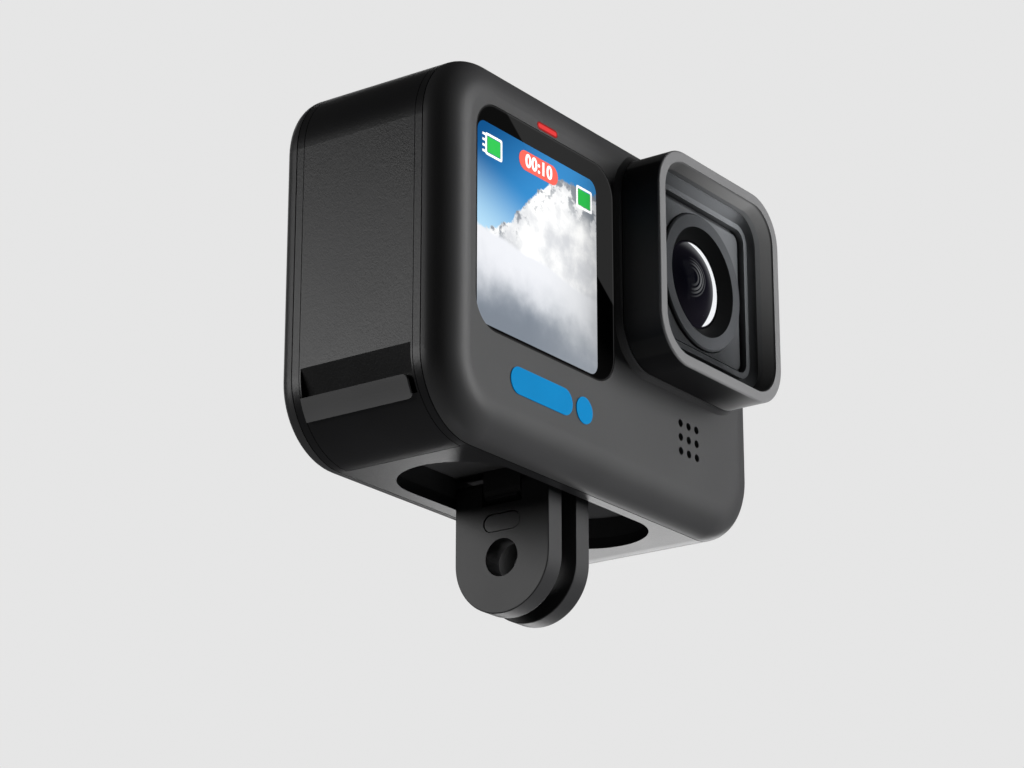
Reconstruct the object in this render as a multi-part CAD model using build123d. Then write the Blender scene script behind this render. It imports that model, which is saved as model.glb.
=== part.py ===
from build123d import *
import os
from math import cos, radians, sin

# A pocket action camera with a front screen, a twist-off square lens cover and fold-out mounting
# fingers. Millimetres, +Z up, the front faces -Y, the battery door is on the -X side. The origin is
# the centre of the thumb-screw bore through the two fingers, which are folded out at rest.

# driving dimensions
body_width = 71.8
body_height = 50.8
body_depth = 26.6
cover_depth = 7.0  # how far the lens cover stands in front of the body
corner_radius = 10.0  # of the outline seen from the front
front_round = 5.0  # how far the front edge's rounding reaches in from the outline
finger_drop = 7.7  # from the bore's axis up to the bottom face
front_y = -14.0  # in the body's own frame, whose middle is at 0
setback = 0.37  # the body's middle lies this far in front of the bore's axis
seam_half = 10.0  # the two shell seams lie this far either side of the bore's axis
door_half = 8.85
wall = 1.5
seam_gap = 0.15
pin_play = 0.05

# levels that follow
bottom_z = finger_drop
top_z = bottom_z + body_height
middle_z = (bottom_z + top_z) / 2
left_x, right_x = -body_width / 2, body_width / 2
rear_y = front_y + body_depth
cover_front_y = front_y - cover_depth
corner_x = left_x + corner_radius
low_corner_z = bottom_z + corner_radius
liner_out, liner_in = wall + 0.4, wall + 1.4  # the sealed wall behind the door, inside the outline

# fingers, their pocket and hinges
finger_radius = 7.45
finger_thickness = 3.0
finger_gap = 3.2
bore_radius = 2.55
finger_pin_x = (finger_gap + finger_thickness) / 2
finger_pin_z = bottom_z + 0.2 + finger_thickness / 2
finger_pin_radius = 0.75
lug_half = 2.95  # the fixed lug between a finger's two knuckles
notch_half = 3.2
notch_z = finger_pin_z - 2.2
pocket_half_length, pocket_half_width = 22.5, 8.2
pocket_y = -0.25
pocket_ceiling_z = 12.0
pad_length, pad_height, pad_z = 5.6, 2.2, 4.8

# door, its hinge and its latch; angles go down round the lower corner, from level
door_pin_x, door_pin_z, door_pin_radius = -25.4, top_z - 1.0, 0.5
barrel_radius, trough_radius = 0.95, 1.3
door_end_angle = 89.1
latch_top, latch_block_end, latch_foot = 17.4, 24.5, 34.6
latch_travel = 7.0
latch_front_y, latch_back_y = -7.9, 8.65
latch_end_round = 0.7
scoop_top_z, scoop_bottom_z, scoop_bottom_x = 18.5, 13.4, -34.38
scoop_half = 8.62

# lens cover and lens
lens_x, lens_z = 16.45, 40.4
cover_half, cover_corner = 15.2, 6.5
pedestal_y = front_y - 1.0
cover_rear_y = pedestal_y - 0.15
rim_half, glass_half = 13.7, 13.0
glass_y, glass_thickness = -19.3, 0.7
bezel_rear_y = -16.9
ridge_outer, ridge_inner, ridge_y = 11.3, 10.5, -18.2
plate_half, plate_y = 9.9, -17.5
groove_y = -17.2
bezel_hole = 9.75
ring_inner, ring_outer, ring_lug = 11.6, 12.6, 13.0
cover_bore, cover_lug = 13.25, 12.75
lug_angle = 8
lens_face_y = -18.0
disc_radius, mouth_radius = 9.6, 7.7
dome_radius, dome_edge_y, dome_top_y = 6.1, -16.4, -18.1
sensor_y = -2.6

# front window, lamps and sound holes
window_x0, window_x1, window_z0, window_z1 = -29.84, 0.64, 21.6, 51.98
window_corner = 4.2
lamp_x, lamp_z, lamp_length, lamp_height = -14.4, 52.82, 4.5, 1.0
sound_x, sound_z, sound_pitch, sound_radius = 18.41, 19.13, 1.96, 0.55
rear_glass_width, rear_glass_height, rear_glass_corner = 58.0, 40.0, 4.0
rear_lamp_x, rear_lamp_z = 32.0, 50.5

# buttons
shutter_x, shutter_length, shutter_width, shutter_travel = -14.0, 14.0, 8.4, 0.5
mode_z, mode_length, mode_width, mode_travel = 39.0, 12.5, 4.6, 0.4

# battery, card and port, reached through the door
bay_y0, bay_y1, bay_z0, bay_z1 = -8.2, 4.8, 17.0, 50.8
battery_x0, battery_x1 = -32.2, 6.0
port_y, port_z, card_y, card_z = 6.75, 37.0, 6.8, 23.0


def front_plane(y):
    """Sketch x is X and sketch y is Z; it extrudes towards -Y."""
    return Plane(origin=(0, y, 0), x_dir=(1, 0, 0), z_dir=(0, -1, 0))


def from_front(sketch, y0, y1):
    """A sketch in X and Z made solid between two depths."""
    return extrude(front_plane(y1) * sketch, amount=y1 - y0)


def from_side(sketch, x0, x1):
    """A sketch in Y and Z made solid between two widths."""
    plane = Plane(origin=(x0, 0, 0), x_dir=(0, 1, 0), z_dir=(1, 0, 0))
    return extrude(plane * sketch, amount=x1 - x0)


def from_below(sketch, z0, z1):
    """A sketch in X and Y made solid between two heights."""
    return extrude(Plane.XY.offset(z0) * sketch, amount=z1 - z0)


def block(x0, x1, y0, y1, z0, z1):
    return Pos((x0 + x1) / 2, (y0 + y1) / 2, (z0 + z1) / 2) * Box(x1 - x0, y1 - y0, z1 - z0)


def rod_y(x, z, radius, y0, y1):
    return from_front(Pos(x, z) * Circle(radius), y0, y1)


def rounded(width, height, radius):
    return RectangleRounded(width, height, radius)


def outline(inset=0.0):
    """The body seen from the front, moved in by inset."""
    width, height = body_width - 2 * inset, body_height - 2 * inset
    return Pos(0, middle_z) * rounded(width, height, corner_radius - inset)


def band(inner_inset, outer_inset, y0, y1):
    """A stretch of the body's wall between two insets."""
    return from_front(outline(outer_inset) - outline(inner_inset), y0, y1)


def lens_square(half, corner):
    return Pos(lens_x, lens_z) * rounded(2 * half, 2 * half, corner)


def lens_disc(radius, y0, y1):
    return rod_y(lens_x, lens_z, radius, y0, y1)


def lens_ring(outer, inner, y0, y1):
    return lens_disc(outer, y0, y1) - lens_disc(inner, y0 - 1, y1 + 1)


def lens_turned(points):
    """A closed profile of radius and depth, spun round the lens axis."""
    plane = Plane(origin=(lens_x, 0, lens_z), x_dir=(1, 0, 0), z_dir=(0, 0, 1))
    face = make_face(plane * Polyline(*points, close=True))
    return revolve(face, Axis((lens_x, 0, lens_z), (0, 1, 0)))


def flat_at(box, y):
    """Whether a bounding box lies wholly at one y."""
    return abs(box.min.Y - y) + abs(box.max.Y - y) < 1e-3


def edges_at(solid, y):
    """The edges that lie flat at one depth."""
    return solid.edges().filter_by(lambda e: flat_at(e.bounding_box(), y))


def window_sketch(inset=0.0):
    width, height = window_x1 - window_x0 - 2 * inset, window_z1 - window_z0 - 2 * inset
    centre = Pos((window_x0 + window_x1) / 2, (window_z0 + window_z1) / 2)
    return centre * rounded(width, height, window_corner - inset)


def rear_glass_sketch(inset=0.0):
    width, height = rear_glass_width - 2 * inset, rear_glass_height - 2 * inset
    return Pos(0, middle_z) * rounded(width, height, max(rear_glass_corner - inset, 1))


def lamp_sketch(grow=0.0):
    return Pos(lamp_x, lamp_z) * SlotOverall(lamp_length + 2 * grow, lamp_height + 2 * grow)


def lug_arcs(inner, outer, y0, y1):
    """Four short arcs of a ring, towards the corners of the square cover."""
    ring = Circle(outer) - Circle(inner)
    side = outer * sin(radians(lug_angle)) / cos(radians(lug_angle))
    wedge = Polygon((0, 0), (1.2 * outer, -1.2 * side), (1.2 * outer, 1.2 * side), align=None)
    arcs = [Rot(0, 0, 45 + 90 * k) * wedge for k in range(4)]
    return [from_front(Pos(lens_x, lens_z) * (ring & arc), y0, y1) for arc in arcs]


def screw_places():
    """The four case screws, one near each corner."""
    reach = body_height / 2 - 5.0
    return [(x, middle_z + side * reach) for x in (left_x + 8.2, right_x - 5.8) for side in (-1, 1)]


def rounded_section(half):
    """A bar's cross-section, forward from the seam, with an elliptical rounding at both ends."""
    depth = -seam_half - seam_gap - front_y
    section = Rectangle(2 * (half - front_round), depth, align=(Align.CENTER, Align.MIN))
    for side in (-1, 1):
        section += Pos(side * (half - front_round), 0) * Ellipse(front_round, depth)
    return section & Rectangle(2 * half, depth, align=(Align.CENTER, Align.MIN))


def make_front_blank():
    """The front shell before its hollow: two crossed bars and four turned corners."""
    seam = -seam_half - seam_gap
    flat_x, flat_z = body_width / 2 - corner_radius, body_height / 2 - corner_radius
    across = Plane(origin=(-flat_x, seam, middle_z), x_dir=(0, 0, 1), z_dir=(1, 0, 0))
    upright = Plane(origin=(0, seam, middle_z - flat_z), x_dir=(-1, 0, 0), z_dir=(0, 0, 1))
    blank = extrude(across * rounded_section(body_height / 2), amount=2 * flat_x)
    blank += extrude(upright * rounded_section(body_width / 2), amount=2 * flat_z)
    one_side = Rectangle(2 * corner_radius, 20, align=(Align.MIN, Align.CENTER))
    half = rounded_section(corner_radius) & one_side
    for x in (-flat_x, flat_x):
        for z in (middle_z - flat_z, middle_z + flat_z):
            turning = Plane(origin=(x, seam, z), x_dir=(1, 0, 0), z_dir=(0, 0, -1))
            blank += revolve(turning * half, Axis((x, 0, z), (0, 1, 0)))
    return blank


def make_front_shell():
    shell = make_front_blank()
    pedestal = from_front(lens_square(cover_half, cover_corner), pedestal_y, front_y + 0.6)
    foot = lens_square(cover_half + 0.9, cover_corner + 0.9)
    flare = extrude(front_plane(front_y + 0.6) * foot, amount=1.2, taper=36.9)
    hollow = from_front(outline(wall), front_y + wall, -seam_half)
    hollow = fillet(edges_at(hollow, front_y + wall), 2.4)
    shell = shell + pedestal + flare - hollow
    shell -= lens_disc(ring_outer + 0.1, pedestal_y - 1, front_y + 4)
    shell -= from_front(window_sketch(-0.08), front_y - 2, front_y + 0.5)
    shell -= from_front(window_sketch(1.2), front_y, front_y + 4)
    shell -= from_front(lamp_sketch(0.05), front_y - 1, front_y + 4)
    for i in (-1, 0, 1):
        for k in (-1, 0, 1):
            x, z = sound_x + i * sound_pitch, sound_z + k * sound_pitch
            shell -= rod_y(x, z, sound_radius, front_y - 1, front_y + 4)
    return shell


def make_mid_frame():
    left = block(left_x - 1, corner_x, -seam_half, seam_half, bottom_z - 1, top_z + 1)
    frame = band(wall, 0, -seam_half, seam_half) + (band(liner_in, 0, -seam_half, seam_half) & left)
    frame += block(door_pin_x - 1.6, door_pin_x + 3.2, -seam_half, seam_half, top_z - 3.6, top_z - 0.6)
    edge = door_half + 0.1
    door_room = band(liner_out, -1, -edge, edge)
    door_foot_x = corner_x - corner_radius * cos(radians(door_end_angle)) + 0.12
    frame -= door_room & block(left_x - 2, door_pin_x, -edge, edge, middle_z, top_z + 2)
    frame -= door_room & block(left_x - 2, door_foot_x, -edge, edge, bottom_z - 2, middle_z)
    frame -= rod_y(door_pin_x, door_pin_z, trough_radius, -edge, edge)
    frame -= block(door_pin_x - 2, door_pin_x + trough_radius, -edge, edge, door_pin_z, top_z + 1)
    frame -= rod_y(door_pin_x, door_pin_z, door_pin_radius, -seam_half + 0.4, seam_half - 0.4)
    inner_x = corner_x - 6
    frame -= block(left_x, inner_x, bay_y0, bay_y1, bay_z0, bay_z1)
    frame -= from_side(Pos(port_y, port_z) * SlotOverall(9.3, 3.4, rotation=90), left_x, inner_x)
    frame -= block(left_x, inner_x, card_y - 0.7, card_y + 0.7, card_z - 5.8, card_z + 5.8)
    frame -= block(left_x, inner_x, -2.4, 2.4, 12.0, 15.6)
    frame -= from_below(pocket_sketch(), bottom_z - 1, bottom_z + 3)
    frame -= from_below(shutter_sketch(0.3), top_z - 3, top_z + 1)
    frame -= from_side(mode_sketch(0.3), right_x - 3, right_x + 1)
    for x in top_port_places():
        frame -= from_below(Pos(x, 0) * Circle(0.5), top_z - 3, top_z + 1)
    for x, z in screw_places():
        post = rod_y(x, z, 2.1, 7.4, seam_half) - rod_y(x, z, 0.8, 7, seam_half + 1)
        frame += post & from_front(outline(0.5), 7, seam_half)
    return frame


def pocket_sketch(grow=0.0):
    """The finger pocket seen from below, in the body's frame."""
    return Pos(0, pocket_y) * SlotOverall(2 * (pocket_half_length + grow), 2 * (pocket_half_width + grow))


def shutter_sketch(grow=0.0):
    """The record button's outline seen from above, larger all round by half of grow."""
    return Pos(shutter_x, 0) * SlotOverall(shutter_length + grow, shutter_width + grow)


def mode_sketch(grow=0.0):
    """The side button's outline in Y and Z, larger all round by half of grow."""
    return Pos(0, mode_z) * SlotOverall(mode_length + grow, mode_width + grow, rotation=90)


def top_port_places():
    """The three microphone ports on the top face."""
    return [5.0 + 2.2 * k for k in (-1, 0, 1)]


def make_rear_shell():
    shell = from_front(outline(), seam_half + seam_gap, rear_y)
    shell = fillet(edges_at(shell, rear_y), 2.3)
    shell -= from_front(outline(wall + 0.4), seam_half, rear_y - 1.6)
    for x, z in screw_places():
        shell += rod_y(x, z, 2.0, seam_half + seam_gap, rear_y - 1.2)
        shell -= rod_y(x, z, 0.72, seam_half, rear_y - 1.3)
    shell -= from_front(rear_glass_sketch(-0.08), rear_y - 1.0, rear_y + 1)
    shell -= from_front(rear_glass_sketch(2.8), seam_half, rear_y)
    shell -= rod_y(rear_lamp_x, rear_lamp_z, 0.62, seam_half, rear_y + 1)
    return shell


def make_front_gasket():
    return band(wall + 0.9, wall + 0.1, -seam_half - 0.75, -seam_half - 0.05)


def make_rear_gasket():
    gasket = band(wall + 1.6, wall + 0.5, seam_half + 0.05, seam_half + 0.7)
    for x, z in screw_places():
        eye = rod_y(x, z, 3.0, seam_half + 0.05, seam_half + 0.7)
        gasket += eye & from_front(outline(wall + 0.5), seam_half, seam_half + 1)
        gasket -= rod_y(x, z, 2.3, seam_half, seam_half + 1)
    return gasket


def make_front_window():
    pane = from_front(window_sketch(), front_y + 0.04, front_y + 0.46)
    pane -= from_front(lens_square(cover_half + 0.25, cover_corner + 0.25), pedestal_y, front_y + 0.3)
    return pane


def make_front_display():
    return from_front(window_sketch(1.4), front_y + 0.5, front_y + 2.6)


def make_front_cable():
    x = window_x0 + 9
    ribbon = block(x, x + 9, front_y + 2.62, front_y + 2.8, window_z0 + 3, window_z0 + 16)
    return ribbon + block(x + 1, x + 8, front_y + 2.62, front_y + 3.5, window_z0 + 3, window_z0 + 6)


def make_status_lamp():
    return from_front(lamp_sketch(), front_y - 0.02, front_y + 1.9)


def make_rear_glass():
    return from_front(rear_glass_sketch(), rear_y - 0.9, rear_y - 0.04)


def make_rear_display():
    return from_front(rear_glass_sketch(3.0), rear_y - 2.6, rear_y - 0.95)


def make_rear_lamp():
    return rod_y(rear_lamp_x, rear_lamp_z, 0.6, rear_y - 1.6, rear_y + 0.02)


def make_bayonet_ring():
    ring = lens_turned([
        (ring_inner, -16.2), (ring_outer, -16.2), (ring_outer, front_y + wall + 0.05),
        (ring_outer + 1.2, front_y + wall + 0.05), (ring_outer + 1.2, -11.8), (ring_inner, -11.8),
    ])
    for lug in lug_arcs(ring_outer - 0.3, ring_lug, -16.2, -15.8):
        ring += lug
    return ring


def make_lens_barrel():
    return lens_turned([
        (mouth_radius, lens_face_y), (disc_radius - 0.2, lens_face_y), (disc_radius, lens_face_y + 0.2),
        (disc_radius, -15.9), (ring_inner - 0.1, -15.9), (ring_inner - 0.1, -13.6), (9.2, -13.6), (9.2, -4.0),
        (8.0, -4.0), (8.0, -6.4), (5.3, -6.4), (5.3, -9.8), (6.3, -9.8), (6.3, -12.6), (7.3, -12.6),
        (7.3, -15.9), (6.2, -15.9), (6.2, -16.6),
    ])


def make_front_lens():
    rise = dome_edge_y - dome_top_y
    ball = (dome_radius**2 + rise**2) / (2 * rise)
    dome = Pos(lens_x, dome_top_y + ball, lens_z) * Sphere(ball)
    dome &= lens_disc(dome_radius, dome_top_y - 1, dome_edge_y)
    return dome + lens_disc(dome_radius, dome_edge_y, -15.4) + lens_disc(7.2, -15.8, -13.4)


def make_middle_lens():
    ball = Pos(lens_x, -12.5 + 14, lens_z) * Sphere(14)
    return ball & lens_disc(6.2, -13, -10.3)


def make_aperture_ring():
    return lens_ring(6.2, 2.0, -10.2, -9.85)


def make_rear_lens():
    ball = Pos(lens_x, -7.0 - 12, lens_z) * Sphere(12)
    return ball & lens_disc(5.2, -9.5, -6.5)


def make_infrared_filter():
    return block(lens_x - 5, lens_x + 5, -6.3, -5.8, lens_z - 5, lens_z + 5)


def make_image_sensor():
    return block(lens_x - 5.4, lens_x + 5.4, sensor_y - 1.2, sensor_y - 0.02, lens_z - 5, lens_z + 5)


def make_sensor_board():
    board = block(lens_x - 9, lens_x + 9, sensor_y, sensor_y + 0.9, lens_z - 9, lens_z + 9)
    return board + block(lens_x - 4, lens_x + 4, sensor_y + 0.9, sensor_y + 2, lens_z - 8.6, lens_z - 6)


def make_cover_frame():
    frame = from_front(lens_square(cover_half, cover_corner), cover_front_y, cover_rear_y)
    frame = fillet(edges_at(frame, cover_front_y), 0.3)
    frame -= lens_funnel(glass_half + 0.04, 4.4, glass_y, rim_half, cover_front_y)
    frame -= from_front(lens_square(glass_half + 0.04, 4.4), glass_y - 0.01, bezel_rear_y)
    frame -= lens_disc(cover_bore, bezel_rear_y - 0.1, cover_rear_y + 1)
    for lug in lug_arcs(cover_lug, cover_bore + 0.4, -15.65, cover_rear_y):
        frame += lug
    return frame


def lens_funnel(half0, corner, y0, half1, y1):
    """A square hole that widens from y0 forwards to y1, running a little past it."""
    low = front_plane(y0) * lens_square(half0, corner)
    grow = (half1 - half0) / (y0 - y1) * 0.1
    high = front_plane(y1 - 0.1) * lens_square(half1 + grow, corner + half1 + grow - half0)
    return loft([low.face(), high.face()])


def make_cover_glass():
    return from_front(lens_square(glass_half, 4.36), glass_y, glass_y + glass_thickness)


def make_cover_bezel():
    half, front = glass_half - 0.02, glass_y + glass_thickness + 0.04
    bezel = from_front(lens_square(half, 4.3), front, bezel_rear_y - 0.02)
    bezel -= lens_funnel(ridge_outer + 0.1, 2.6, plate_y, half - 0.2, front)
    bezel += from_front(lens_square(ridge_outer, 2.5), ridge_y, bezel_rear_y - 0.3)
    bezel -= from_front(lens_square(ridge_inner, 1.8), ridge_y - 1, groove_y)
    bezel += from_front(lens_square(plate_half, 1.2), plate_y, groove_y + 0.1)
    return bezel - lens_disc(bezel_hole, -20, -15)


def make_cover_seal():
    return lens_ring(11.2, 9.85, bezel_rear_y, -16.3)


def corner_sector(inner, outer, top, foot, y0, y1):
    """Part of a ring round the lower left corner, between two angles down from level."""
    def ray(angle):
        return (-2 * outer * cos(radians(angle)), -2 * outer * sin(radians(angle)))

    wedge = Polygon((0, 0), ray(top), ray(foot), align=None)
    return from_front(Pos(corner_x, low_corner_z) * ((Circle(outer) - Circle(inner)) & wedge), y0, y1)


def make_door_panel():
    foot_x = corner_x - corner_radius * cos(radians(door_end_angle))
    place = block(left_x - 1, door_pin_x, -door_half, door_half, middle_z, top_z + 1)
    place += block(left_x - 1, foot_x, -door_half, door_half, bottom_z - 1, middle_z)
    panel = band(wall, 0, -door_half, door_half) & place
    panel += rod_y(door_pin_x, door_pin_z, barrel_radius, -door_half, door_half)
    panel -= rod_y(door_pin_x, door_pin_z, door_pin_radius + pin_play, -seam_half, seam_half)
    foot = [(left_x - 2, scoop_bottom_z), (scoop_bottom_x, scoop_bottom_z), (scoop_bottom_x, scoop_bottom_z + 1)]
    scoop = Polygon(*foot, (left_x, scoop_top_z), (left_x - 2, scoop_top_z), align=None)
    slot_top, slot_foot = latch_top - 1, latch_block_end + latch_travel + 0.5
    below = corner_sector(1, 3 * corner_radius, slot_foot, 89, -seam_half, seam_half)
    panel -= from_front(scoop, -scoop_half, scoop_half) - below
    inner, outer = corner_radius - 0.9, corner_radius + 1
    panel -= corner_sector(inner, outer, slot_top, slot_foot, -scoop_half, latch_back_y + 0.1)
    panel -= corner_sector(corner_radius - 3, corner_radius + 1, slot_top, slot_foot, -2.2, 2.2)
    return panel


def make_door_seal():
    outer, inner = door_half - 0.05, door_half - 0.45
    loop = block(left_x - 1, -20, -outer, outer, 15.8, 52.4)
    loop -= block(left_x - 2, -19, -inner, inner, 16.2, 52)
    return band(wall + 0.32, wall, -seam_half, seam_half) & loop


def make_latch_bar():
    r = corner_radius
    lip = corner_sector(r + 0.06, r + 0.4, latch_top, latch_foot, latch_front_y, latch_back_y)
    lip = fillet([e for e in edges_at(lip, latch_front_y) if e.length < 0.5], latch_end_round)
    front = latch_front_y + 0.5
    core = corner_sector(r - 0.75, r + 0.2, latch_top + 0.6, latch_block_end, front, latch_back_y)
    hook = corner_sector(r - 2.0, r - 0.6, latch_top + 1.6, latch_block_end - 0.5, -1.9, 1.9)
    return lip + core + hook


def make_door_pin():
    reach = seam_half - 0.4
    return rod_y(door_pin_x, door_pin_z, door_pin_radius, -reach, reach)


def mirror_side(solid):
    return mirror(solid, Plane.YZ)


def is_outer_edge(edge):
    """Whether an edge lies round the blade's outline, in a plane square to the bore."""
    return edge.center().Z < finger_pin_z - 0.5 and edge.bounding_box().size.X < 0.01


def make_finger():
    """The +X finger, with its round tip, bore, knuckles, notch and pad recess."""
    blade = Circle(finger_radius) + Pos(0, finger_pin_z / 2) * Rectangle(2 * finger_radius, finger_pin_z)
    x0, x1 = finger_gap / 2, finger_gap / 2 + finger_thickness
    finger = from_side(blade, x0, x1)
    finger = fillet(finger.edges().filter_by(is_outer_edge), 0.15)
    finger += rod_y(finger_pin_x, finger_pin_z, finger_thickness / 2, -finger_radius, finger_radius)
    finger -= block(x0 - 1, x1 + 1, -notch_half, notch_half, notch_z, finger_pin_z + 3)
    finger -= rod_y(finger_pin_x, finger_pin_z, finger_pin_radius + pin_play, -10, 10)
    finger -= from_side(Circle(bore_radius), 0, 10)
    pad_room = Pos(0, pad_z) * SlotOverall(pad_length + 0.3, pad_height + 0.3)
    return finger - from_side(pad_room, x1 - 1.0, x1 + 1)


def make_finger_pad():
    x1 = finger_gap / 2 + finger_thickness
    return from_side(Pos(0, pad_z) * SlotOverall(pad_length, pad_height), x1 - 0.98, x1 - 0.12)


def make_finger_pin():
    return rod_y(finger_pin_x, finger_pin_z, finger_pin_radius, -finger_radius + 0.2, finger_radius - 0.2)


def make_finger_cradle():
    """The pocket's walls and ceiling, with a lug for each hinge pin."""
    z0 = bottom_z + wall
    cradle = from_below(pocket_sketch(1), z0, pocket_ceiling_z + 1)
    cradle -= from_below(pocket_sketch(), z0 - 1, pocket_ceiling_z)
    cradle = Pos(0, -setback, 0) * cradle
    for side in (-1, 1):
        x = side * finger_pin_x
        lug = rod_y(x, finger_pin_z, finger_thickness / 2, -lug_half, lug_half)
        lug += block(x - 1.5, x + 1.5, -lug_half, lug_half, finger_pin_z, pocket_ceiling_z + 0.5)
        tab = Pos(x, 0, finger_pin_z) * Rot(0, side * -24, 0) * Box(1.6, 2 * lug_half - 1, 3.6)
        cradle += lug + (tab & block(x - 2, x + 2, -3, 3, finger_pin_z - 2, finger_pin_z + 2))
        cradle -= rod_y(x, finger_pin_z, finger_pin_radius, -10, 10)
    return cradle


def make_shutter_button():
    cap = from_below(shutter_sketch(), top_z - wall - 0.1, top_z + 0.35)
    cap = fillet(cap.edges().filter_by(lambda e: e.bounding_box().min.Z > top_z + 0.3), 0.3)
    flange = from_below(shutter_sketch(1.4), top_z - 2.3, top_z - 1.6)
    return cap + flange + from_below(Pos(shutter_x, 0) * Circle(1.2), top_z - 3.2, top_z - 2)


def make_shutter_switch():
    deck = block(shutter_x - 5, shutter_x + 5, -3.2, 3.2, top_z - 4.7, top_z - 4.2)
    return deck + from_below(Pos(shutter_x, 0) * Circle(2), top_z - 4.2, top_z - 3.8)


def make_mode_button():
    cap = from_side(mode_sketch(), right_x - wall - 0.1, right_x + 0.3)
    cap = fillet(cap.edges().filter_by(lambda e: e.bounding_box().min.X > right_x + 0.25), 0.25)
    flange = from_side(mode_sketch(1.4), right_x - 2.2, right_x - 1.6)
    return cap + flange + from_side(Pos(0, mode_z) * Circle(1.0), right_x - 3.0, right_x - 2)


def make_mode_switch():
    deck = block(right_x - 4.4, right_x - 3.9, -1.4, 1.4, mode_z - 4.5, mode_z + 4.5)
    return deck + from_side(Pos(0, mode_z) * Circle(1.3), right_x - 3.9, right_x - 3.5)


def make_battery():
    cell = block(battery_x0, battery_x1, bay_y0 + 0.1, bay_y1 - 0.1, bay_z0 + 0.2, bay_z1 - 0.2)
    return fillet(cell.edges().filter_by(Axis.X), 1.2)


def make_battery_tab():
    y = (bay_y0 + bay_y1) / 2
    return block(battery_x0 - 0.35, battery_x0 - 0.02, y - 4, y + 4, bay_z1 - 14, bay_z1 - 2)


def make_battery_sleeve():
    x0, x1, t = battery_x0 + 0.3, battery_x1 + 0.9, 0.5
    outer = block(x0, x1, bay_y0 - t, bay_y1 + t - 0.2, bay_z0 - t, bay_z1 + t)
    return outer - block(x0 - 1, x1 - t, bay_y0, bay_y1, bay_z0, bay_z1)


def make_battery_contacts():
    y = (bay_y0 + bay_y1) / 2
    x0, x1 = battery_x1 + 0.02, battery_x1 + 0.4
    blades = [block(x0, x1, y - 0.5, y + 0.5, z, z + 4) for z in (20, 26, 32, 38)]
    return Compound(blades)


def make_usb_port():
    slot = Pos(port_y, port_z) * SlotOverall(8.94, 3.16, rotation=90)
    hole = Pos(port_y, port_z) * SlotOverall(8.34, 2.56, rotation=90)
    port = from_side(slot, left_x + 2.6, left_x + 9.6) - from_side(hole, left_x + 2, left_x + 8.6)
    return port + block(left_x + 3.4, left_x + 9, port_y - 0.35, port_y + 0.35, port_z - 3.3, port_z + 3.3)


def make_card_socket():
    x0 = left_x + 3.4
    body = block(x0, x0 + 15.6, card_y - 1.1, card_y + 1.1, card_z - 6.3, card_z + 6.3)
    return body - block(x0 - 1, x0 + 15.2, card_y - 0.6, card_y + 0.6, card_z - 5.6, card_z + 5.6)


def make_memory_card():
    x0 = left_x + 2.4
    card = block(x0, x0 + 15, card_y - 0.5, card_y + 0.5, card_z - 5.5, card_z + 5.5)
    return fillet(card.edges().filter_by(Axis.Y), 0.5)


def make_port_board():
    return block(left_x + 3.2, left_x + 24, 8.4, 8.95, bay_z0 + 0.5, bay_z1 - 2)


def make_main_board():
    board = block(8.0, 31.5, 1.4, 2.4, 15.5, 52)
    chips = [block(x, x + 4, 0.4, 1.45, z, z + 5) for x, z in ((26.5, 18), (26.5, 46), (10, 24))]
    return board + chips


def make_processor():
    return block(13, 26, 2.42, 3.9, 33, 46)


def make_heat_spreader():
    plate = block(8.0, 32.5, 3.95, 4.75, 17, 50.5)
    return plate + block(10, 30, 4.7, 7.2, 30, 32) + block(10, 30, 4.7, 7.2, 46, 48)


def make_speaker():
    body = block(11, 26.5, -12.1, -8.2, 13.6, 25)
    return fillet(body.edges().filter_by(Axis.Y), 1.5)


def make_speaker_mesh():
    reach = sound_pitch + 1.4
    y = front_y + wall
    return block(sound_x - reach, sound_x + reach, y + 0.05, y + 0.3, sound_z - reach, sound_z + reach)


def make_microphones():
    """A sealed capsule under each port on the top face."""
    z = top_z - wall
    cans = [from_below(Pos(x, 0) * Circle(0.95), z - 1.3, z - 0.05) for x in top_port_places()]
    return Compound(cans)


def make_accent_inlay():
    """One raised bar and one dot on the front, below the window."""
    bar = Pos(-15.9, 16.6) * SlotOverall(13.4, 3.6)
    dot = Pos(-6.5, 16.6) * Circle(1.8)
    return Compound([from_front(mark, front_y - 0.12, front_y - 0.01) for mark in (bar, dot)])


def make_case_screws():
    screws = []
    for x, z in screw_places():
        head = rod_y(x, z, 1.5, 6.2, 7.38) - from_front(Pos(x, z) * RegularPolygon(0.7, 6), 6, 6.9)
        screws.append(head + rod_y(x, z, 0.7, 7.3, rear_y - 1.4))
    return Compound(screws)


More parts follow.
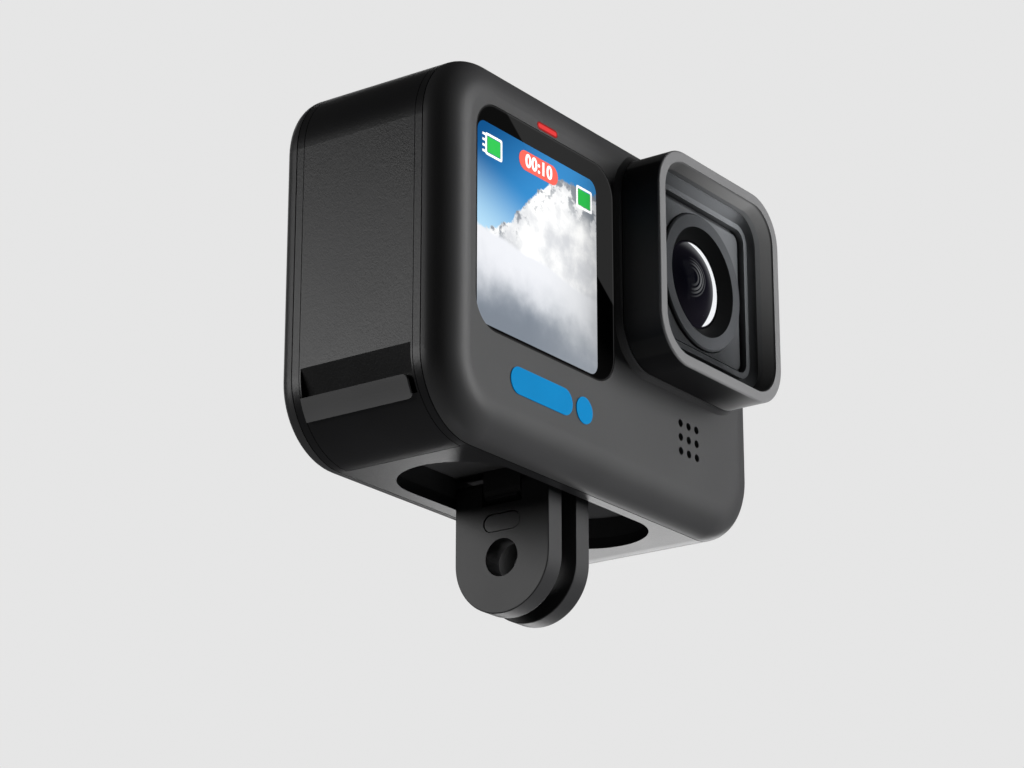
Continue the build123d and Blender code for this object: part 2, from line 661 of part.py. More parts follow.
def main():
    os.makedirs("parts", exist_ok=True)
    finger, pad, pin = make_finger(), make_finger_pad(), make_finger_pin()
    nodes = {
        "front_shell": make_front_shell(),
        "mid_frame": make_mid_frame(),
        "rear_shell": make_rear_shell(),
        "front_gasket": make_front_gasket(),
        "rear_gasket": make_rear_gasket(),
        "front_window": make_front_window(),
        "front_display": make_front_display(),
        "front_display_cable": make_front_cable(),
        "status_lamp": make_status_lamp(),
        "accent_inlay": make_accent_inlay(),
        "rear_touch_glass": make_rear_glass(),
        "rear_display": make_rear_display(),
        "rear_lamp": make_rear_lamp(),
        "bayonet_ring": make_bayonet_ring(),
        "lens_barrel": make_lens_barrel(),
        "front_lens": make_front_lens(),
        "middle_lens": make_middle_lens(),
        "aperture_ring": make_aperture_ring(),
        "rear_lens": make_rear_lens(),
        "infrared_filter": make_infrared_filter(),
        "image_sensor": make_image_sensor(),
        "sensor_board": make_sensor_board(),
        "lens_cover_frame": make_cover_frame(),
        "lens_cover_glass": make_cover_glass(),
        "lens_cover_bezel": make_cover_bezel(),
        "lens_cover_seal": make_cover_seal(),
        "side_door": make_door_panel(),
        "door_seal": make_door_seal(),
        "door_latch_bar": make_latch_bar(),
        "door_hinge_pin": make_door_pin(),
        "finger_cradle": make_finger_cradle(),
        "right_finger": finger,
        "left_finger": mirror_side(finger),
        "right_finger_pad": pad,
        "left_finger_pad": mirror_side(pad),
        "finger_hinge_pins": Compound([pin, mirror_side(pin)]),
        "shutter_button": make_shutter_button(),
        "shutter_switch": make_shutter_switch(),
        "mode_button": make_mode_button(),
        "mode_switch": make_mode_switch(),
        "battery": make_battery(),
        "battery_pull_tab": make_battery_tab(),
        "battery_sleeve": make_battery_sleeve(),
        "battery_contacts": make_battery_contacts(),
        "usb_port": make_usb_port(),
        "card_socket": make_card_socket(),
        "memory_card": make_memory_card(),
        "port_board": make_port_board(),
        "main_board": make_main_board(),
        "processor": make_processor(),
        "heat_spreader": make_heat_spreader(),
        "speaker": make_speaker(),
        "speaker_mesh": make_speaker_mesh(),
        "microphones": make_microphones(),
        "case_screws": make_case_screws(),
    }
    on_bore_axis = ("finger_cradle", "right_finger", "left_finger", "right_finger_pad", "left_finger_pad",
                    "finger_hinge_pins")
    for name, solid in nodes.items():
        place = Pos(0, 0 if name in on_bore_axis else -setback, 0)
        export_step(place * solid, f"parts/{name}.step")


main()
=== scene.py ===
from math import cos, pi, radians, sin

import bpy
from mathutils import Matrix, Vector


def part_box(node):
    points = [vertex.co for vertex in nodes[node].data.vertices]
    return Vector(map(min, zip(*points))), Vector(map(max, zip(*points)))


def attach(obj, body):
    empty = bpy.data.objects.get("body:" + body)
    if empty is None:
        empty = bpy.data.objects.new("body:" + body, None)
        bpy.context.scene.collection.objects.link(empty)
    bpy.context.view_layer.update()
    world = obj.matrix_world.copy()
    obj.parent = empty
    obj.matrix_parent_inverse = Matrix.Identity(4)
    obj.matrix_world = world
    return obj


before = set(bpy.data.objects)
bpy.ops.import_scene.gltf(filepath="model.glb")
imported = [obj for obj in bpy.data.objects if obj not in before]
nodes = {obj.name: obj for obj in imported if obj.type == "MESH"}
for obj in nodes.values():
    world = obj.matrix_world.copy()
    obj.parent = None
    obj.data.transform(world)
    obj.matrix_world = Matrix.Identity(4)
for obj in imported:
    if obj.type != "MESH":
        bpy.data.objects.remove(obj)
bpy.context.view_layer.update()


# shader maths: a socket that can be written in a sum
class Wire:
    def __init__(self, tree, socket):
        self.tree = tree
        self.socket = socket

    def maths(self, operation, *others):
        return mathsNode(self.tree, operation, (self, *others))

    def __add__(self, other):
        return self.maths("ADD", other)

    def __radd__(self, other):
        return mathsNode(self.tree, "ADD", (other, self))

    def __sub__(self, other):
        return self.maths("SUBTRACT", other)

    def __rsub__(self, other):
        return mathsNode(self.tree, "SUBTRACT", (other, self))

    def __mul__(self, other):
        return self.maths("MULTIPLY", other)

    def __rmul__(self, other):
        return mathsNode(self.tree, "MULTIPLY", (other, self))

    def __truediv__(self, other):
        return self.maths("DIVIDE", other)

    def __pow__(self, other):
        return self.maths("POWER", other)

    def __neg__(self):
        return self.maths("MULTIPLY", -1)


def plug(tree, socket, value):
    if isinstance(value, Wire):
        tree.links.new(value.socket, socket)
    elif value is not None:
        if socket.type == "RGBA" and len(value) == 3:
            value = (*value, 1)
        socket.default_value = value


def mathsNode(tree, operation, values):
    node = tree.nodes.new("ShaderNodeMath")
    node.operation = operation
    for socket, value in zip(node.inputs, values):
        plug(tree, socket, value)
    return Wire(tree, node.outputs[0])


black = (0, 0, 0)
white = (1, 1, 1)
# scale and detail of the two noises that most finishes share
skinNoise = {"cloud": (90, 4), "grain": (5200, 2)}


def shaded(colour, amount):
    return tuple(channel * amount for channel in colour)


class Finish:
    # one material; its Principled shader's fixed values are given by name
    def __init__(self, name, **fixed):
        self.material = bpy.data.materials.new(name)
        self.material.use_nodes = True
        self.tree = self.material.node_tree
        self.shader = self.tree.nodes["Principled BSDF"]
        self.set(**fixed)
        self.place = self.node("ShaderNodeTexCoord", output="Object")
        split = self.node("ShaderNodeSeparateXYZ", whole=True, Vector=self.place)
        self.x, self.y, self.z = [Wire(self.tree, socket) for socket in split.outputs]

    def set(self, **values):
        for name, value in values.items():
            plug(self.tree, self.shader.inputs[name.replace("_", " ")], value)

    def node(self, kind, settings=None, output=0, whole=False, **values):
        # a value is named after its socket, or i and the socket's number where names repeat
        made = self.tree.nodes.new(kind)
        for name, value in (settings or {}).items():
            setattr(made, name, value)
        for name, value in values.items():
            numbered = name[0] == "i" and name[1:].isdigit()
            key = int(name[1:]) if numbered else name.replace("_", " ")
            plug(self.tree, made.inputs[key], value)
        return made if whole else Wire(self.tree, made.outputs[output])

    def noise(self, scale, detail=3, roughness=0.5, place=None):
        return self.node("ShaderNodeTexNoise", Vector=place or self.place, Scale=scale, Detail=detail,
                         Roughness=roughness)

    def skin(self):
        # broad clouding, and the fine grain of a moulding
        return self.noise(*skinNoise["cloud"]), self.noise(*skinNoise["grain"])

    def mix(self, factor, low, high, blend="MIX"):
        return self.node("ShaderNodeMix", {"data_type": "RGBA", "blend_type": blend}, output=2,
                         i0=factor, i6=low, i7=high)

    def step(self, value, low, high):
        return self.node("ShaderNodeMapRange", {"interpolation_type": "SMOOTHSTEP"}, Value=value,
                         From_Min=low, From_Max=high)

    def fromMiddle(self, low, high):
        # how far across and up a point is from the middle of a box
        return self.x - (low[0] + high[0]) / 2, self.z - (low[2] + high[2]) / 2

    def bump(self, height, strength, distance):
        self.set(Normal=self.node("ShaderNodeBump", Height=height, Strength=strength, Distance=distance))

    def on(self, *names):
        for name in names:
            nodes[name].data.materials.clear()
            nodes[name].data.materials.append(self.material)
        return self


# moulded plastics: two shades that cloud into each other, and the depth of the grain
plastics = {
    "bodySatin": {
        "dark": (0.034, 0.034, 0.035), "light": (0.044, 0.044, 0.045), "rough": 0.40, "grain": 0.12,
    },
    "frameGrain": {
        "dark": (0.010, 0.010, 0.0105), "light": (0.017, 0.017, 0.018), "rough": 0.32, "grain": 0.55,
    },
    "fingerSatin": {
        "dark": (0.024, 0.024, 0.025), "light": (0.034, 0.034, 0.035), "rough": 0.38, "grain": 0.2,
    },
    "latchGrain": {
        "dark": (0.110, 0.110, 0.111), "light": (0.135, 0.135, 0.136), "rough": 0.42, "grain": 0.2,
    },
    "padSatin": {
        "dark": (0.030, 0.030, 0.031), "light": (0.040, 0.040, 0.041), "rough": 0.34, "grain": 0.2,
    },
    "cradleSatin": {
        "dark": (0.030, 0.030, 0.031), "light": (0.045, 0.045, 0.046), "rough": 0.4, "grain": 0.2,
    },
    "innerBlack": {
        "dark": (0.004, 0.004, 0.004), "light": (0.008, 0.008, 0.008), "rough": 0.5, "grain": 0.2,
    },
    "sealRubber": {
        "dark": (0.006, 0.006, 0.006), "light": (0.012, 0.012, 0.012), "rough": 0.7, "grain": 0.4,
    },
    "cellWrap": {
        "dark": (0.030, 0.030, 0.032), "light": (0.050, 0.050, 0.052), "rough": 0.5, "grain": 0.3,
    },
    "tabPaper": {
        "dark": (0.62, 0.61, 0.58), "light": (0.70, 0.69, 0.66), "rough": 0.6, "grain": 0.3,
    },
    "boardGreen": {
        "dark": (0.004, 0.035, 0.020), "light": (0.008, 0.060, 0.034), "rough": 0.3, "grain": 0.4,
    },
}
moulding = {"coarse": 2100, "cloudRough": 0.08, "grainRough": 0.1, "fineShare": 0.6, "relief": 0.00004}


def plastic(name):
    look = plastics[name]
    finish = Finish(name, IOR=1.5)
    cloud, grain = finish.skin()
    coarse = finish.noise(moulding["coarse"], 2)
    rough = look["rough"] + (cloud - 0.5) * moulding["cloudRough"] + (grain - 0.5) * moulding["grainRough"]
    finish.set(Base_Color=finish.mix(cloud, look["dark"], look["light"]), Roughness=rough)
    height = grain * moulding["fineShare"] + coarse * (1 - moulding["fineShare"])
    finish.bump(height, look["grain"], moulding["relief"])
    return finish


plastic("bodySatin").on("front_shell", "rear_shell", "shutter_button", "mode_button")
plastic("frameGrain").on("mid_frame", "side_door")
plastic("latchGrain").on("door_latch_bar")
plastic("fingerSatin").on("left_finger", "right_finger")
plastic("padSatin").on("left_finger_pad", "right_finger_pad")
plastic("cradleSatin").on("finger_cradle")
plastic("innerBlack").on("bayonet_ring", "aperture_ring", "battery_sleeve", "speaker", "processor",
                         "memory_card")
plastic("sealRubber").on("front_gasket", "rear_gasket", "lens_cover_seal", "door_seal")
plastic("cellWrap").on("battery")
plastic("tabPaper").on("battery_pull_tab")
plastic("boardGreen").on("sensor_board", "port_board", "main_board")
print("plastics done")

# the lens cover: near-black sides, a lighter brow round the front, and painted light on the walls inside its
# mouth, lighter towards the top right, and under its chin
coverLook = {
    "side": (0.006, 0.006, 0.0065), "sideRough": 0.55,
    "brow": (0.13, 0.13, 0.132), "browRough": 0.42, "browClouding": 1.25, "browEnds": (0.00035, 0.00012),
    "wall": (0.010, 0.010, 0.010), "lit": (0.20, 0.20, 0.20), "wallStarts": (0.0010, 0.0012),
    "paintedLightAcross": 0.8, "paintedLightUp": 0.9, "paintedLightRange": (-0.004, 0.022),
    "chinAcross": (0.001, 0.0155), "chinDown": (-0.0135, -0.0148), "chinPaintedGlow": 2.2,
    "cloudRough": 0.06, "paintedGlowShare": 0.1, "glow": 0.72, "grain": 0.12, "relief": 0.00004,
}


def paintCover(look):
    low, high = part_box("lens_cover_frame")
    half = (high[0] - low[0]) / 2
    browStart, browEnd = look["browEnds"]
    wallStart, wallEnd = look["wallStarts"]
    finish = Finish("coverSatin", Specular_IOR_Level=0.25)
    cloud, grain = finish.skin()
    front = finish.step(finish.y, low[1] + browStart, low[1] + browEnd)
    offX, offZ = finish.fromMiddle(low, high)
    reach = offX.maths("ABSOLUTE").maths("MAXIMUM", offZ.maths("ABSOLUTE"))
    inner = finish.step(reach, half - wallStart, half - wallEnd)
    # painted light: the inner walls lighter towards the top right
    up = finish.step(offX * look["paintedLightAcross"] + offZ * look["paintedLightUp"], *look["paintedLightRange"])
    wall = finish.mix(up, look["wall"], look["lit"])
    # painted light under the cover's chin, growing towards its right end
    paintedChinLight = finish.step(offX, *look["chinAcross"]) ** 2 * finish.step(offZ, *look["chinDown"])
    brow = finish.mix(cloud, look["brow"], shaded(look["brow"], look["browClouding"]))
    base = finish.mix(inner, finish.mix(paintedChinLight, look["side"], look["lit"]), wall)
    rough = look["sideRough"] - front * (look["sideRough"] - look["browRough"])
    rough = rough + (cloud - 0.5) * look["cloudRough"]
    finish.set(Base_Color=finish.mix(front, base, brow), Roughness=rough)
    # painted light glowing inside the mouth of the cover and under its chin
    glowAndPaintedLight = (inner * up + paintedChinLight * (1 - inner) * look["chinPaintedGlow"]) * (1 - front)
    glowAndPaintedLight = finish.mix(glowAndPaintedLight * look["paintedGlowShare"], black, white)
    finish.set(Emission_Color=glowAndPaintedLight, Emission_Strength=look["glow"])
    finish.bump(grain, look["grain"], look["relief"])
    finish.on("lens_cover_frame")


paintCover(coverLook)

# the stepped surround inside the cover, with painted light making it lighter towards the top right, and
# painted shade in its deeper grooves
bezelLook = {
    "dark": (0.018, 0.018, 0.0185), "lit": (0.19, 0.19, 0.192), "paintedLightUp": 0.8, "paintedLightRange": (-0.006, 0.018),
    "paintedGrooveShade": (0.004, 0.004, 0.004), "grooveDepth": (0.0009, 0.0013), "grooveShadeShare": 0.5,
    "rough": 0.34, "cloudRough": 0.08, "grain": 0.1, "relief": 0.00003,
}


def paintBezel(look):
    low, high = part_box("lens_cover_bezel")
    grooveStart, grooveEnd = look["grooveDepth"]
    finish = Finish("bezelBlack", Specular_IOR_Level=0.4)
    cloud, grain = finish.skin()
    offX, offZ = finish.fromMiddle(low, high)
    # painted light: lighter towards the top right
    base = finish.mix(finish.step(offX + offZ * look["paintedLightUp"], *look["paintedLightRange"]), look["dark"], look["lit"])
    # painted shade: darker in the deeper grooves
    paintedGrooveShade = finish.step(finish.y, low[1] + grooveStart, low[1] + grooveEnd)
    base = finish.mix(paintedGrooveShade * look["grooveShadeShare"], base, look["paintedGrooveShade"])
    finish.set(Base_Color=base, Roughness=look["rough"] + (cloud - 0.5) * look["cloudRough"])
    finish.bump(grain, look["grain"], look["relief"])
    finish.on("lens_cover_bezel")


paintBezel(bezelLook)

# the lens barrel: a grey raised ring round a black mouth, with painted light making the ring lighter on its
# right; the mouth's radius is in millimetres
barrelLook = {
    "mouth": 7.7, "mouthEdge": (-0.02, 0.05), "black": (0.0015, 0.0015, 0.0015), "blackRough": 0.62,
    "left": (0.030, 0.030, 0.031), "right": (0.070, 0.070, 0.072), "across": (-0.008, 0.008),
    "ringSmoother": 0.25, "cloudRough": 0.06, "grain": 0.1, "relief": 0.00003,
}
toMillimetres = 1000


def paintBarrel(look):
    low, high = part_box("front_lens")
    edgeStart, edgeEnd = look["mouthEdge"]
    finish = Finish("barrelBlack", Specular_IOR_Level=0.3)
    cloud, grain = finish.skin()
    offX, offZ = finish.fromMiddle(low, high)
    reach = (offX * offX + offZ * offZ).maths("SQRT") * toMillimetres
    # painted light: the ring darker on its left and lighter on its right
    ring = finish.mix(finish.step(offX, *look["across"]), look["left"], look["right"])
    outside = finish.step(reach, look["mouth"] + edgeStart, look["mouth"] + edgeEnd)
    rough = look["blackRough"] - outside * look["ringSmoother"] + (cloud - 0.5) * look["cloudRough"]
    finish.set(Base_Color=finish.mix(outside, look["black"], ring), Roughness=rough)
    finish.bump(grain, look["grain"], look["relief"])
    finish.on("lens_barrel")


paintBarrel(barrelLook)
print("lens cover and barrel done")

# metals, with a fine brushed or rolled grain
metals = {
    "springSteel": {"colour": (0.42, 0.42, 0.44), "rough": 0.32, "streak": (900, 9000, 900)},
    "rolledAluminium": {"colour": (0.55, 0.56, 0.58), "rough": 0.38, "streak": (200, 6000, 6000)},
    "contactGold": {"colour": (0.75, 0.52, 0.18), "rough": 0.25, "streak": (3000, 3000, 3000)},
}
brushing = {"shade": 0.8, "streakRough": 0.15, "grain": 0.1, "relief": 0.00002}


def metal(name):
    look = metals[name]
    finish = Finish(name, Metallic=1.0)
    stretched = finish.node("ShaderNodeMapping", Vector=finish.place, Scale=look["streak"])
    streak = finish.noise(1, 2, place=stretched)
    colour = finish.mix(streak, shaded(look["colour"], brushing["shade"]), look["colour"])
    finish.set(Base_Color=colour, Roughness=look["rough"] + (streak - 0.5) * brushing["streakRough"])
    finish.bump(streak, brushing["grain"], brushing["relief"])
    return finish


metal("springSteel").on("door_hinge_pin", "finger_hinge_pins", "shutter_switch", "mode_switch", "usb_port",
                        "card_socket", "speaker_mesh", "microphones", "case_screws")
metal("rolledAluminium").on("heat_spreader")
metal("contactGold").on("battery_contacts", "front_display_cable")
print("metals done")

# front window: the live picture under a polished pane, with a black printed border, a painted sheen and a
# painted highlight along its edge
lowWindow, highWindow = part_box("front_window")
screen = {
    "left": lowWindow[0] + 0.00025, "right": highWindow[0] - 0.0039,
    "bottom": lowWindow[2] + 0.0005, "top": highWindow[2] - 0.0028, "corner": 0.0016,
}
# the picture: distances are shares of the screen's width and height, noises are scale, detail, roughness
picture = {
    "deepSky": (0.003, 0.060, 0.19), "midSky": (0.030, 0.20, 0.46), "deepAcross": 0.75,
    "deepRange": (-1.0, -0.35), "paleSky": (0.36, 0.56, 0.70), "paleAcross": 0.30, "paleRange": (0.88, 0.42),
    "crags": (420, 8, 0.62), "folds": (170, 6, 0.55),
    "ridgeFoot": 0.48, "ridgeRise": 0.44, "ridgeAcross": (0.05, 0.75), "ridgeBroken": 0.16,
    "ridgeEdge": (0.0, 0.015),
    "farUp": 0.6, "farRange": (1.10, 1.45), "farRock": 0.08, "rockRange": (0.50, 0.60),
    "rockDepth": (0.20, 0.02), "rock": (0.13, 0.15, 0.18), "rockShare": 0.85,
    "snowShade": (0.52, 0.53, 0.55), "snowLight": (0.84, 0.84, 0.83), "snowRange": (0.35, 0.65),
    "slopeTop": 0.50, "slopeFall": 0.10, "slopeWave": (90, 3), "slopeWaved": 0.10, "slopeEdge": (0.0, 0.03),
    "slopeShade": (0.17, 0.20, 0.24), "slopeLight": (0.64, 0.65, 0.68), "slopeFolded": 0.3,
    "slopeRange": (0.02, 0.42), "rightLight": (0.60, 0.61, 0.62), "rightFolded": 0.2,
    "rightRange": (0.35, 0.85), "rightShare": 0.5,
    "foot": (0.15, 0.17, 0.20), "footFolded": 0.25, "footRange": (0.30, 0.0), "footShare": 0.8,
}
pane = {
    "border": (0.002, 0.002, 0.002), "screenEdge": 0.00002, "pictureShare": 0.5, "glow": 0.76,
    "sheenSlant": 0.786, "sheenPlace": 0.0336, "sheenEdge": 0.0002, "paintedSheen": 0.030, "sheenLost": 0.022,
    "corner": 0.0042, "line": (-0.00022, -0.00012), "edgePaintedHighlight": 0.03,
}


def roundedBox(finish, left, right, bottom, top, corner):
    # signed distance from the edge of a rounded rectangle in X and Z, negative inside
    halfWide, halfTall = (right - left) / 2, (top - bottom) / 2
    overX = (finish.x - (left + right) / 2).maths("ABSOLUTE") - (halfWide - corner)
    overZ = (finish.z - (bottom + top) / 2).maths("ABSOLUTE") - (halfTall - corner)
    overX = overX.maths("MAXIMUM", 0)
    overZ = overZ.maths("MAXIMUM", 0)
    return (overX * overX + overZ * overZ).maths("SQRT") - corner


def drawPicture(finish, look):
    across = (finish.x - screen["left"]) / (screen["right"] - screen["left"])
    up = (finish.z - screen["bottom"]) / (screen["top"] - screen["bottom"])
    # sky, deep at the top left and pale towards the ridge
    deep = finish.step(across * look["deepAcross"] - up, *look["deepRange"])
    sky = finish.mix(deep, look["deepSky"], look["midSky"])
    pale = finish.step(up + across * look["paleAcross"], *look["paleRange"])
    sky = finish.mix(pale, sky, look["paleSky"])
    # the ridge climbs to the right, with broken rock along it
    crags = finish.noise(*look["crags"])
    folds = finish.noise(*look["folds"])
    climb = look["ridgeFoot"] + finish.step(across, *look["ridgeAcross"]) * look["ridgeRise"]
    depth = climb + (crags - 0.5) * look["ridgeBroken"] - up
    mountain = finish.step(depth, *look["ridgeEdge"])
    far = finish.step(across + up * look["farUp"], *look["farRange"]) * look["farRock"]
    rock = finish.step(crags + far, *look["rockRange"]) * finish.step(depth - far, *look["rockDepth"])
    snow = finish.mix(finish.step(folds, *look["snowRange"]), look["snowShade"], look["snowLight"])
    snow = finish.mix(rock * look["rockShare"], snow, look["rock"])
    # the near slope, brighter at the right and grey at its foot
    wave = (finish.noise(*look["slopeWave"]) - 0.5) * look["slopeWaved"]
    slope = finish.step(look["slopeTop"] - across * look["slopeFall"] + wave - up, *look["slopeEdge"])
    lit = finish.step(up + (folds - 0.5) * look["slopeFolded"], *look["slopeRange"])
    near = finish.mix(lit, look["slopeShade"], look["slopeLight"])
    right = finish.step(across + (folds - 0.5) * look["rightFolded"], *look["rightRange"])
    near = finish.mix(right * look["rightShare"], near, look["rightLight"])
    foot = finish.step(up + (folds - 0.5) * look["footFolded"], *look["footRange"])
    near = finish.mix(foot * look["footShare"], near, look["foot"])
    return finish.mix(slope, finish.mix(mountain, sky, snow), near)


def paintWindow(look):
    finish = Finish("windowPane", Roughness=0.03, IOR=1.5, Specular_IOR_Level=0.35)
    inside = finish.step(-roundedBox(finish, **screen), -look["screenEdge"], look["screenEdge"])
    shown = drawPicture(finish, picture)
    dimmed = finish.mix(look["pictureShare"], black, shown)
    finish.set(Base_Color=finish.mix(inside, look["border"], dimmed))
    glowAndPaintedLight = finish.mix(inside, black, shown)
    # a painted sheen over the upper right of the pane, with a slanting edge
    slant = finish.z + finish.x * look["sheenSlant"] - look["sheenPlace"]
    paintedSheen = finish.step(slant, -look["sheenEdge"], look["sheenEdge"])
    paintedSheen = paintedSheen * (look["paintedSheen"] - inside * look["sheenLost"])
    glowAndPaintedLight = finish.mix(paintedSheen, glowAndPaintedLight, white, "ADD")
    # a painted highlight along the polished edge of the pane
    edge = roundedBox(finish, lowWindow[0], highWindow[0], lowWindow[2], highWindow[2], look["corner"])
    glowAndPaintedLight = finish.mix(finish.step(edge, *look["line"]) * look["edgePaintedHighlight"], glowAndPaintedLight, white, "ADD")
    finish.set(Emission_Color=glowAndPaintedLight, Emission_Strength=look["glow"])
    finish.on("front_window", "front_display")


paintWindow(pane)

# the rear screen is off: its active area is a shade lighter than the printed border
rearLook = {
    "inset": 0.0022, "corner": 0.0015, "edge": 0.00004, "border": (0.002, 0.002, 0.002),
    "active": (0.010, 0.011, 0.013), "activeClouding": (0.013, 0.014, 0.017), "rough": 0.05,
    "cloudRough": 0.03,
}


def paintRearPane(look):
    finish = Finish("rearPane", IOR=1.5, Specular_IOR_Level=0.3)
    cloud = finish.noise(60, 3)
    low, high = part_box("rear_touch_glass")
    inset = look["inset"]
    edge = roundedBox(finish, low[0] + inset, high[0] - inset, low[2] + inset, high[2] - inset,
                      look["corner"])
    active = finish.step(edge, look["edge"], -look["edge"])
    dark = finish.mix(cloud, look["active"], look["activeClouding"])
    finish.set(Base_Color=finish.mix(active, look["border"], dark))
    finish.set(Roughness=look["rough"] + cloud * look["cloudRough"])
    finish.on("rear_touch_glass", "rear_display", "image_sensor")


paintRearPane(rearLook)

# thin clear glass: mostly see-through, with a coated gloss that grows towards its edges
glasses = {
    "coverPane": {"tint": (0.002, 0.002, 0.002), "gloss": 0.02},
    "innerElement": {"tint": (0.03, 0.02, 0.05), "gloss": 0.25},
}
clearLook = {"clear": (0.97, 0.98, 0.99), "shade": 0.8, "edgeBlend": 0.25}


def clearGlass(name):
    tint, gloss = glasses[name]["tint"], glasses[name]["gloss"]
    finish = Finish(name, Roughness=0.02, IOR=1.45)
    finish.set(Base_Color=finish.mix(finish.noise(40, 2), tint, shaded(tint, clearLook["shade"])))
    clear = finish.node("ShaderNodeBsdfTransparent", Color=clearLook["clear"])
    facing = finish.node("ShaderNodeLayerWeight", Blend=clearLook["edgeBlend"], output=0)
    shiny = Wire(finish.tree, finish.shader.outputs[0])
    both = finish.node("ShaderNodeMixShader", i0=gloss + facing * gloss, i1=clear, i2=shiny)
    plug(finish.tree, finish.tree.nodes["Material Output"].inputs["Surface"], both)
    return finish


clearGlass("coverPane").on("lens_cover_glass")
clearGlass("innerElement").on("middle_lens", "rear_lens", "infrared_filter")

# the front element, its reflections painted into its glow: painted rings are start, end and level, and every
# radius is in millimetres
dome = {
    "paintedRings": ((1.15, 1.35, 0.5), (1.75, 1.95, 0.8), (2.25, 2.4, 0.6), (2.75, 2.85, 0.3)),
    "ringSoft": (0.12, 0.08), "ringAcross": (-0.0004, 0.0018), "ringLight": 0.20, "sink": (-0.0024, 0.0002),
    "outer": 5.8, "outerSoft": 0.12, "bite": (-0.0047, -0.0013, 7.75), "biteEdge": (-0.04, 0.12),
    "hazeEdge": (-2.6, 0.3), "hazeAcross": 0.3, "hazeRange": (-0.005, 0.004), "paintedHaze": 0.16,
    "pupil": (0.002, 0.002, 0.004), "coating": (0.008, 0.007, 0.010), "pupilRange": (1.0, 5.5),
}


def domeGlass(look):
    finish = Finish("domeGlass", Roughness=0.06, IOR=1.5, Specular_IOR_Level=0.004, Emission_Strength=1.0)
    low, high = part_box("front_lens")
    offX, offZ = finish.fromMiddle(low, high)

    def reachFrom(x, z):
        return ((offX - x) * (offX - x) + (offZ - z) * (offZ - z)).maths("SQRT") * toMillimetres

    # painted reflections: rings that seem deep inside the glass, brightest on their right
    deep = reachFrom(*look["sink"])
    softIn, softOut = look["ringSoft"]
    paintedRings = 0
    for start, end, level in look["paintedRings"]:
        ring = finish.step(deep, start - softIn, start) - finish.step(deep, end, end + softOut)
        paintedRings = paintedRings + ring * level
    paintedRings = paintedRings * finish.step(offX - look["sink"][0], *look["ringAcross"])
    # a painted highlight, a bright sliver down the right of the glass, and a painted haze inside it
    biteX, biteZ, biteReach = look["bite"]
    biteIn, biteOut = look["biteEdge"]
    hazeIn, hazeOut = look["hazeEdge"]
    bitten = reachFrom(biteX, biteZ)
    rim = finish.step(reachFrom(0, 0), look["outer"] + look["outerSoft"], look["outer"])
    paintedSliver = rim * finish.step(bitten, biteReach + biteIn, biteReach + biteOut)
    paintedHaze = finish.step(bitten, biteReach + hazeIn, biteReach + hazeOut) ** 2 * rim
    paintedHaze = paintedHaze * finish.step(offX * look["hazeAcross"] + offZ, *look["hazeRange"]) * look["paintedHaze"]
    light = paintedSliver + paintedHaze + paintedRings * look["ringLight"]
    finish.set(Base_Color=finish.mix(finish.step(deep, *look["pupilRange"]), look["pupil"], look["coating"]))
    finish.set(Emission_Color=finish.mix(light, black, white))
    finish.on("front_lens")


domeGlass(dome)
print("glass done")

# red lamps; the long front one has a darker line just inside its edge
lampLook = {
    "colour": (0.80, 0.045, 0.045), "shade": 0.9, "glow": 0.8, "dimmed": 0.8,
    "outline": (0.16, 0.004, 0.004),
    "line": (-0.00026, -0.00016), "lineShare": 0.75, "frontOnly": (0.002, 0.0), "cornerGap": 0.00002,
}


def paintLamps(look):
    finish = Finish("redLamp", Roughness=0.25, Emission_Strength=look["glow"], Specular_IOR_Level=0.2)
    bright = finish.mix(finish.noise(1500, 2), shaded(look["colour"], look["shade"]), look["colour"])
    low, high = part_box("status_lamp")
    corner = (high[2] - low[2]) / 2 - look["cornerGap"]
    edge = roundedBox(finish, low[0], high[0], low[2], high[2], corner)
    line = finish.step(edge, *look["line"]) * finish.step(finish.y, *look["frontOnly"])
    bright = finish.mix(line * look["lineShare"], bright, look["outline"])
    finish.set(Base_Color=finish.mix(look["dimmed"], bright, black), Emission_Color=bright)
    finish.on("status_lamp", "rear_lamp")


paintLamps(lampLook)

# the raised bar and dot under the window, with a painted glow though they are no lamp
accentLook = {
    "dark": (0.002, 0.13, 0.30), "light": (0.003, 0.15, 0.34), "paintedGlowColour": (0.001, 0.16, 0.40),
    "glow": 0.26, "rough": 0.3, "grainRough": 0.1, "grain": 0.15, "relief": 0.00002,
}


def paintAccent(look):
    finish = Finish("blueAccent", Specular_IOR_Level=0.04)
    cloud = finish.noise(300, 3)
    grain = finish.noise(4000, 2)
    finish.set(Base_Color=finish.mix(cloud, look["dark"], look["light"]))
    finish.set(Roughness=look["rough"] + grain * look["grainRough"])
    # painted light: a faint blue glow
    finish.set(Emission_Color=look["paintedGlowColour"], Emission_Strength=look["glow"])
    finish.bump(grain, look["grain"], look["relief"])
    finish.on("accent_inlay")


paintAccent(accentLook)

# what the camera shows over its live picture, as thin raised pieces on the pane
overlay = {"lift": 0.00002, "thick": 0.00003}


def flatPiece(name, curveMaker, level, finish, body="camera_body"):
    # a filled flat curve drawn in X and Z, given a hair's thickness and stood on the pane
    bpy.ops.object.select_all(action="DESELECT")
    data = bpy.data.curves.new(name, "CURVE")
    data.dimensions = "2D"
    data.fill_mode = "BOTH"
    data.extrude = overlay["thick"] / 2
    curveMaker(data)
    piece = bpy.data.objects.new(name, data)
    bpy.context.scene.collection.objects.link(piece)
    piece.rotation_euler = (radians(90), 0, 0)
    piece.location = (0, lowWindow[1] - overlay["lift"] - level * overlay["thick"], 0)
    return settle(piece, finish, body)


